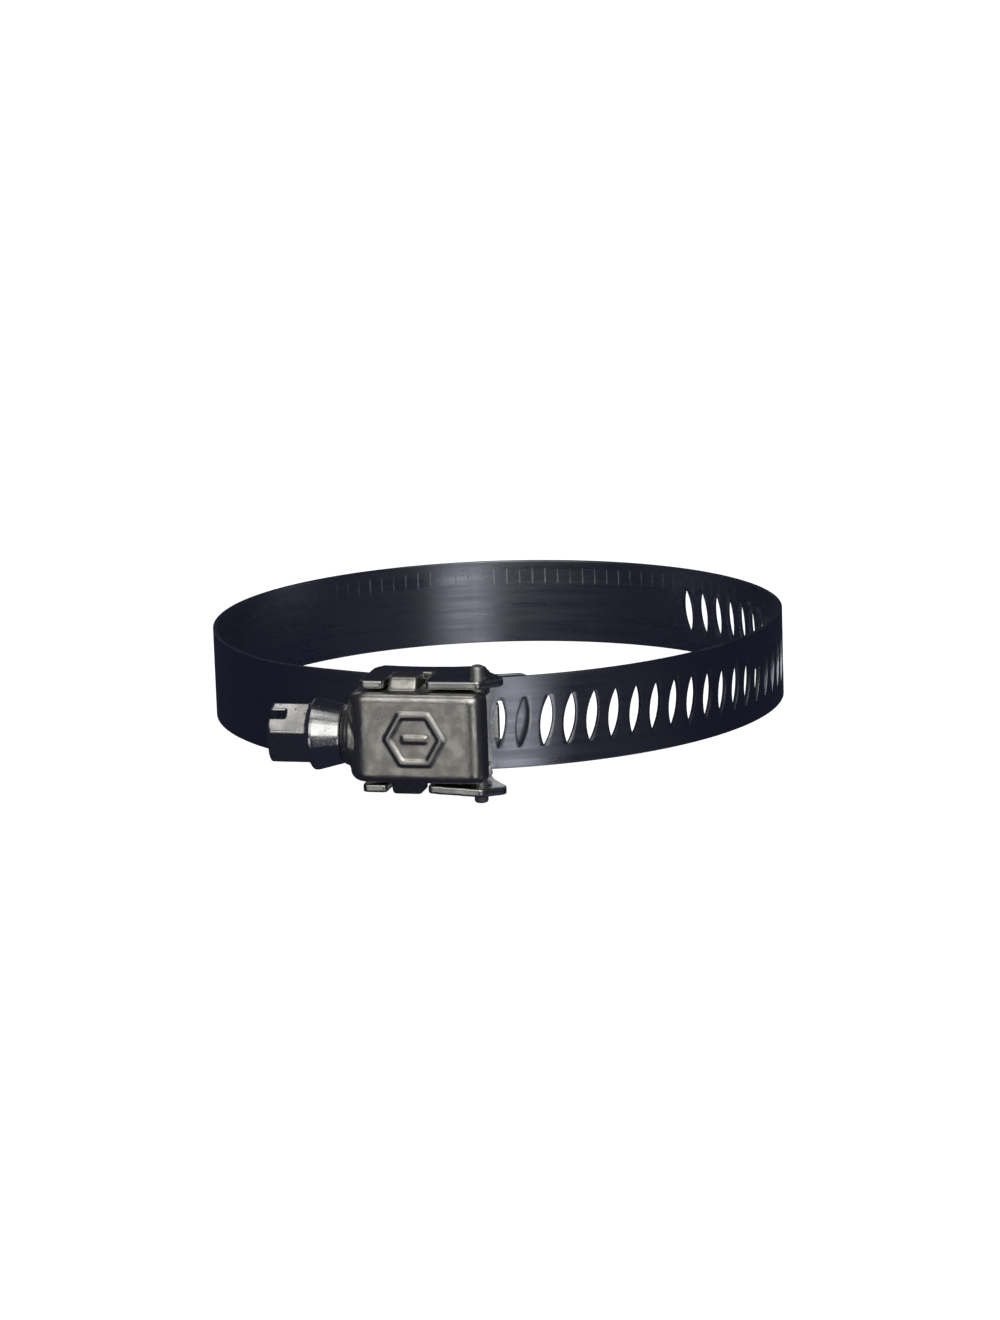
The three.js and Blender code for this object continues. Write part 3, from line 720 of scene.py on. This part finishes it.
def band_steel(finish):
    """Rolled strip: dark and bright lengthwise lines, with a painted highlight on its edges."""
    material, tree, shader = steel("band steel")
    flat = node(tree, "ShaderNodeUVMap", (-1300, 0), uv_map="strip")
    lines = grouped(tree, "rolling lines", (-1000, 0), flat.outputs["UV"], Fineness=55)
    edges = grouped(tree, "painted edge highlight", (-1000, -300), Start=0.53, Full=0.6)
    marks = grouped(tree, "upright ticks", (-1000, -550), flat.outputs["UV"])
    place = node(tree, "ShaderNodeTexCoord", (-1300, -550))
    tree.links.new(place.outputs["Object"], marks.inputs["Place"])
    body = blended(
        tree, lines.outputs["Streaks"], finish.band, shade(finish.band, 0.82), (-700, 200)
    )
    # Lighter, rougher upright ticks near the upper edge, only inside the loop at the back.
    marked = blended(tree, marks.outputs["Mask"], body, MARKED_STRIP, (-500, 200))
    # Sharp outward edges get a painted highlight: a brighter colour where the surface turns.
    base = blended(tree, edges.outputs["Mask"], marked, HIGHLIT_EDGE_STRIP, (-300, 200))
    lined = math_node(tree, "MULTIPLY_ADD", lines.outputs["Streaks"], 0.09, (-700, -100))
    lined.node.inputs[2].default_value = finish.band_rough
    rough = math_node(tree, "MULTIPLY_ADD", marks.outputs["Mask"], 0.45, (-500, -100))
    tree.links.new(lined, rough.node.inputs[2])
    finish_steel(tree, shader, base, rough, lines.outputs["Height"], 0.006 * MM)
    return material


def tumbled_steel(name, metal, dullness, scale, bump, edge_highlight_range):
    """A tumbled or plated piece: dents, pits, patches and a painted highlight on its edges."""
    material, tree, shader = steel(name)
    place = node(tree, "ShaderNodeTexCoord", (-1300, 0))
    skin = grouped(tree, "tumbled skin", (-1000, 0), place.outputs["Object"], Scale=scale)
    edges = grouped(tree, "painted edge highlight", (-1000, -300), Start=edge_highlight_range[0], Full=edge_highlight_range[1])
    body = blended(
        tree, skin.outputs["Patches"], shade(metal, 0.86), shade(metal, 1.06), (-700, 250)
    )
    spotted = blended(tree, skin.outputs["Pits"], body, shade(metal, 0.45), (-500, 250))
    # Sharp outward edges get a painted highlight: a brighter colour where the surface turns.
    base = blended(tree, edges.outputs["Mask"], spotted, HIGHLIT_EDGE_PIECE, (-300, 250))
    uneven = math_node(tree, "MULTIPLY_ADD", skin.outputs["Patches"], -0.08, (-600, -100))
    uneven.node.inputs[2].default_value = dullness
    rough = math_node(tree, "MULTIPLY_ADD", skin.outputs["Pits"], 0.25, (-400, -100))
    tree.links.new(uneven, rough.node.inputs[2])
    finish_steel(tree, shader, base, rough, skin.outputs["Height"], bump)
    return material


def make_groups():
    """Builds the shared effects, once."""
    rolling_lines()
    tumbled_skin()
    upright_ticks()
    painted_edge_highlight()


def dress(piece, material, body, node_name):
    """Gives a piece and the solid that it stands for the material, hides the solid and, if any,
    gives the piece its body.
    """
    piece.data.materials.clear()
    piece.data.materials.append(material)
    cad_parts[node_name].data.materials.clear()
    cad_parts[node_name].data.materials.append(material)
    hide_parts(node_name)
    if body:
        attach(piece, body)


# ---- operators -------------------------------------------------------------------------------


class ClampLoop(bpy.types.Operator):
    """Makes the fixed part of the strip: slots, plain side and tongue"""

    bl_idname = "clamp.loop"
    bl_label = "Band loop"

    def execute(self, context):
        band = context.scene.clamp_band
        plan = Plan(band)
        make_groups()
        columns = straight([band.split])
        for i in range(band.loop_slots):
            centre = band.first_slot + band.pitch * i
            columns += slot_columns(band, centre) + straight([centre + band.pitch / 2])
        last = columns[-1][0]
        end = 2 * plan.half + band.tongue_end
        columns += straight(spread_evenly(last, end - band.end_round, TONGUE_SPACING)[1:])
        columns += straight([end - band.end_round * (1 - part) for part in TONGUE_STEPS])
        bm = flat_strip(band, columns)
        cut_window(bm, band, plan)
        lean_slots(bm, band, band.split, last + band.pitch)
        round_corners(bm, band, end, 1)
        piece = strip_object(bm, "band_loop_strip", band, [band.split])
        dress(piece, band_steel(context.scene.clamp_finish), "band", "band_loop")
        return {"FINISHED"}


class ClampTail(bpy.types.Operator):
    """Makes the slotted tail that the screw draws through the housing"""

    bl_idname = "clamp.tail"
    bl_label = "Band tail"

    def execute(self, context):
        band = context.scene.clamp_band
        make_groups()
        first = band.first_slot - band.pitch * band.tail_slots
        plain = first - band.pitch / 2 - band.tail_tip
        columns = straight([band.tail_tip + plain * part for part in TAIL_STEPS])
        for i in range(band.tail_slots):
            centre = first + band.pitch * i
            columns += straight([centre - band.pitch / 2]) + slot_columns(band, centre)
        columns += straight([band.split])
        bm = flat_strip(band, columns)
        lean_slots(bm, band, band.tail_tip, band.split)
        round_corners(bm, band, band.tail_tip, -1)
        piece = strip_object(bm, "band_tail_strip", band, [band.split])
        dress(piece, band_steel(context.scene.clamp_finish), None, "band_tail")
        x, y = Plan(band).point(band.first_slot - 2 * band.pitch, 0)
        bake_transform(piece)
        return {"FINISHED"}


class ClampShell(bpy.types.Operator):
    """Makes the pressed shell that carries the screw"""

    bl_idname = "clamp.shell"
    bl_label = "Shell"

    def execute(self, context):
        sizes, finish = context.scene.clamp_pressed, context.scene.clamp_finish
        make_groups()
        piece = press(worked_copy("shell", "shell_pressed"), sizes.grain, sizes.soften)
        low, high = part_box("screw")
        dome_left_end(piece, sizes, (low + high) / 2)
        material = tumbled_steel(
            "shell steel", finish.shell, finish.shell_rough, 1500, 0.028 * MM, (0.51, 0.56)
        )
        dress(piece, material, "shell", "shell")
        return {"FINISHED"}


class ClampBracket(bpy.types.Operator):
    """Makes the bracket with its two ears and its hook"""

    bl_idname = "clamp.bracket"
    bl_label = "Bracket"

    def execute(self, context):
        sizes, finish = context.scene.clamp_pressed, context.scene.clamp_finish
        make_groups()
        piece = press(worked_copy("bracket", "bracket_pressed"), sizes.grain, sizes.soften)
        material = tumbled_steel(
            "bracket steel", finish.bracket, finish.bracket_rough, 800, 0.014 * MM, (0.51, 0.57)
        )
        dress(piece, material, "band", "bracket")
        return {"FINISHED"}


class ClampScrew(bpy.types.Operator):
    """Makes the worm screw with its collar and its slotted hex head"""

    bl_idname = "clamp.screw"
    bl_label = "Worm screw"

    def execute(self, context):
        sizes, finish = context.scene.clamp_pressed, context.scene.clamp_finish
        make_groups()
        piece = press(worked_copy("screw", "screw_turned"), sizes.turned_grain, sizes.turned_soften)
        material = tumbled_steel(
            "screw steel", finish.screw, finish.screw_rough, 900, 0.02 * MM, (0.52, 0.6)
        )
        dress(piece, material, "screw", "screw")
        return {"FINISHED"}


class ClampPin(bpy.types.Operator):
    """Makes the hinge pin with its rounded ends"""

    bl_idname = "clamp.pin"
    bl_label = "Hinge pin"

    def execute(self, context):
        finish = context.scene.clamp_finish
        make_groups()
        r, low, high = (PIN_HIGH.x - PIN_LOW.x) / 2, PIN_LOW.z, PIN_HIGH.z
        profile = [(out * r, low + up * r) for out, up in PIN_FOOT]
        profile += [(out * r, high - down * r) for out, down in reversed(PIN_HEAD)]
        centre = ((PIN_LOW.x + PIN_HIGH.x) / 2, (PIN_LOW.y + PIN_HIGH.y) / 2, 0)
        bm = turn(profile, context.scene.clamp_pressed.pin_steps, centre)
        piece = new_object("hinge_pin_turned", bm)
        material = tumbled_steel(
            "pin steel", finish.pin, finish.pin_rough, 1200, 0.01 * MM, (0.53, 0.62)
        )
        dress(piece, material, "band", "hinge_pin")
        return {"FINISHED"}


class ClampSetStage(bpy.types.Operator):
    """Sets the pale floor, the soft lights, the surroundings and the camera"""

    bl_idname = "clamp.stage"
    bl_label = "Stage"

    def execute(self, context):
        stage = context.scene.clamp_stage
        make_floor(stage)
        make_surroundings(stage)
        make_lights()
        make_camera(stage)
        context.scene.view_settings.view_transform = "Standard"
        return {"FINISHED"}


# ---- stage ---------------------------------------------------------------------------------


def make_floor(stage):
    """A wide pale floor just under the clamp, which the steel doesn't mirror."""
    bm = bmesh.new()
    bmesh.ops.create_grid(bm, x_segments=1, y_segments=1, size=6)
    bmesh.ops.translate(bm, verts=bm.verts, vec=(0, 0, CAD_BOUNDS[0][2]))
    floor = new_object("floor", bm)
    material = bpy.data.materials.new("pale floor")
    material.use_nodes = True
    shader = material.node_tree.nodes["Principled BSDF"]
    shader.inputs["Base Color"].default_value = (*stage.floor, 1)
    shader.inputs["Roughness"].default_value = 0.9
    shader.inputs["Specular IOR Level"].default_value = 0
    shader.inputs["Emission Color"].default_value = (1, 1, 1, 1)
    shader.inputs["Emission Strength"].default_value = 1
    floor.data.materials.append(material)
    floor.visible_glossy = False


def make_surroundings(stage):
    """White to the camera, dark to the steel."""
    world = bpy.data.worlds.new("surroundings")
    bpy.context.scene.world = world
    world.use_nodes = True
    tree = world.node_tree
    tree.nodes.clear()
    rays = node(tree, "ShaderNodeLightPath", (-600, 200))
    seen = node(tree, "ShaderNodeBackground", (-300, -100))
    seen.inputs["Color"].default_value = (1, 1, 1, 1)
    mirrored = node(tree, "ShaderNodeBackground", (-300, 100))
    mirrored.inputs["Color"].default_value = (*stage.dark, 1)
    mixer = node(tree, "ShaderNodeMixShader", (0, 0))
    out = node(tree, "ShaderNodeOutputWorld", (250, 0))
    tree.links.new(rays.outputs["Is Camera Ray"], mixer.inputs[0])
    tree.links.new(mirrored.outputs[0], mixer.inputs[1])
    tree.links.new(seen.outputs[0], mixer.inputs[2])
    tree.links.new(mixer.outputs[0], out.inputs[0])


def seen_from(azimuth, elevation, distance):
    """A place round the clamp. Azimuth 0 is in front, and grows to the right, in radians."""
    level = distance * math.cos(elevation)
    return Vector(
        (level * math.sin(azimuth), -level * math.cos(azimuth), distance * math.sin(elevation))
    )


def card(name, azimuth, elevation, distance, size, radiance, tint=(1, 1, 1), only=None):
    """A soft rectangular light at a direction in degrees, facing the clamp, hidden from the camera.
    `only` is a collection that it lights alone."""
    place = seen_from(math.radians(azimuth), math.radians(elevation), distance)
    light = bpy.data.lights.new(name, "AREA")
    light.shape = "RECTANGLE"
    light.size, light.size_y = size
    light.energy = radiance * math.pi * size[0] * size[1]
    light.color = tint
    lamp = bpy.data.objects.new(name, light)
    lamp.location = place
    lamp.rotation_euler = place.to_track_quat("Z", "Y").to_euler()
    lamp.visible_camera = False
    if only:
        lamp.light_linking.receiver_collection = only
    bpy.context.scene.collection.objects.link(lamp)


def make_lights():
    """The cards that the steel mirrors: tall soft boxes in front, dim ones low, faint behind."""
    housing = bpy.data.collections.new("housing pieces")
    for name in HOUSING_PIECES:
        housing.objects.link(bpy.data.objects[name])
    card("tall box", 19, 25, 1.0, (0.58, 0.76), 1.7, WARM)
    card("left tall box", -15, 27, 1.0, (0.34, 0.62), 1.15, WARMER)
    card("low right card", 28, -17, 1.0, (0.32, 0.34), 0.85)
    card("low front card", -14, -13, 1.0, (0.30, 0.36), 0.62, WARMER, housing)
    card("low rear card", 192, -14, 1.0, (0.36, 0.34), 0.45)
    card("overhead box", -10, 74, 1.1, (0.7, 0.4), 0.9, (1, 0.98, 0.94))
    card("right floor card", 75, -28, 1.0, (0.6, 0.25), 0.10)
    card("left rear card", -140, 32, 1.2, (0.5, 0.5), 0.25)
    card("right rear card", 140, 32, 1.2, (0.5, 0.5), 0.25)


def make_camera(stage):
    """The camera at the product's usual three-quarter view."""
    data = bpy.data.cameras.new("camera")
    data.sensor_fit = "VERTICAL"
    data.sensor_height = 36
    data.lens = stage.lens
    data.clip_start, data.clip_end = 0.01, 50
    camera = bpy.data.objects.new("camera", data)
    bpy.context.scene.collection.objects.link(camera)
    place = seen_from(stage.azimuth, stage.elevation, stage.distance)
    look = (Vector((0, 0, stage.aim)) - place).to_track_quat("-Z", "Y").to_matrix().to_4x4()
    camera.matrix_world = Matrix.Translation(place) @ look @ Matrix.Rotation(stage.roll, 4, "Z")
    bpy.context.scene.camera = camera


class ClampPanel(bpy.types.Panel):
    """The clamp's pieces, sizes and finishes"""

    bl_idname = "VIEW3D_PT_hose_clamp"
    bl_label = "Hose clamp"
    bl_space_type = "VIEW_3D"
    bl_region_type = "UI"
    bl_category = "Hose clamp"

    def draw(self, context):
        for operator in OPERATORS:
            self.layout.operator(operator.bl_idname)
        for name, groups in SETTINGS:
            box = self.layout.box()
            box.label(text=groups.__doc__)
            for prop in groups.__annotations__:
                box.prop(getattr(context.scene, name), prop)


OPERATORS = (ClampLoop, ClampTail, ClampShell, ClampBracket, ClampScrew, ClampPin, ClampSetStage)
SETTINGS = (
    ("clamp_band", ClampBandSizes),
    ("clamp_pressed", ClampPressedSizes),
    ("clamp_finish", ClampFinishes),
    ("clamp_stage", ClampStage),
)


def register():
    for name, groups in SETTINGS:
        bpy.utils.register_class(groups)
        setattr(bpy.types.Scene, name, PointerProperty(type=groups))
    for operator in OPERATORS:
        bpy.utils.register_class(operator)
    bpy.utils.register_class(ClampPanel)


def unregister():
    bpy.utils.unregister_class(ClampPanel)
    for operator in reversed(OPERATORS):
        bpy.utils.unregister_class(operator)
    for name, groups in reversed(SETTINGS):
        delattr(bpy.types.Scene, name)
        bpy.utils.unregister_class(groups)


def main():
    """Makes the whole clamp, in order."""
    register()
    bpy.ops.clamp.loop()
    bpy.ops.clamp.tail()
    bpy.ops.clamp.shell()
    bpy.ops.clamp.bracket()
    bpy.ops.clamp.screw()
    bpy.ops.clamp.pin()
    bpy.ops.clamp.stage()


if __name__ == "__main__":
    main()
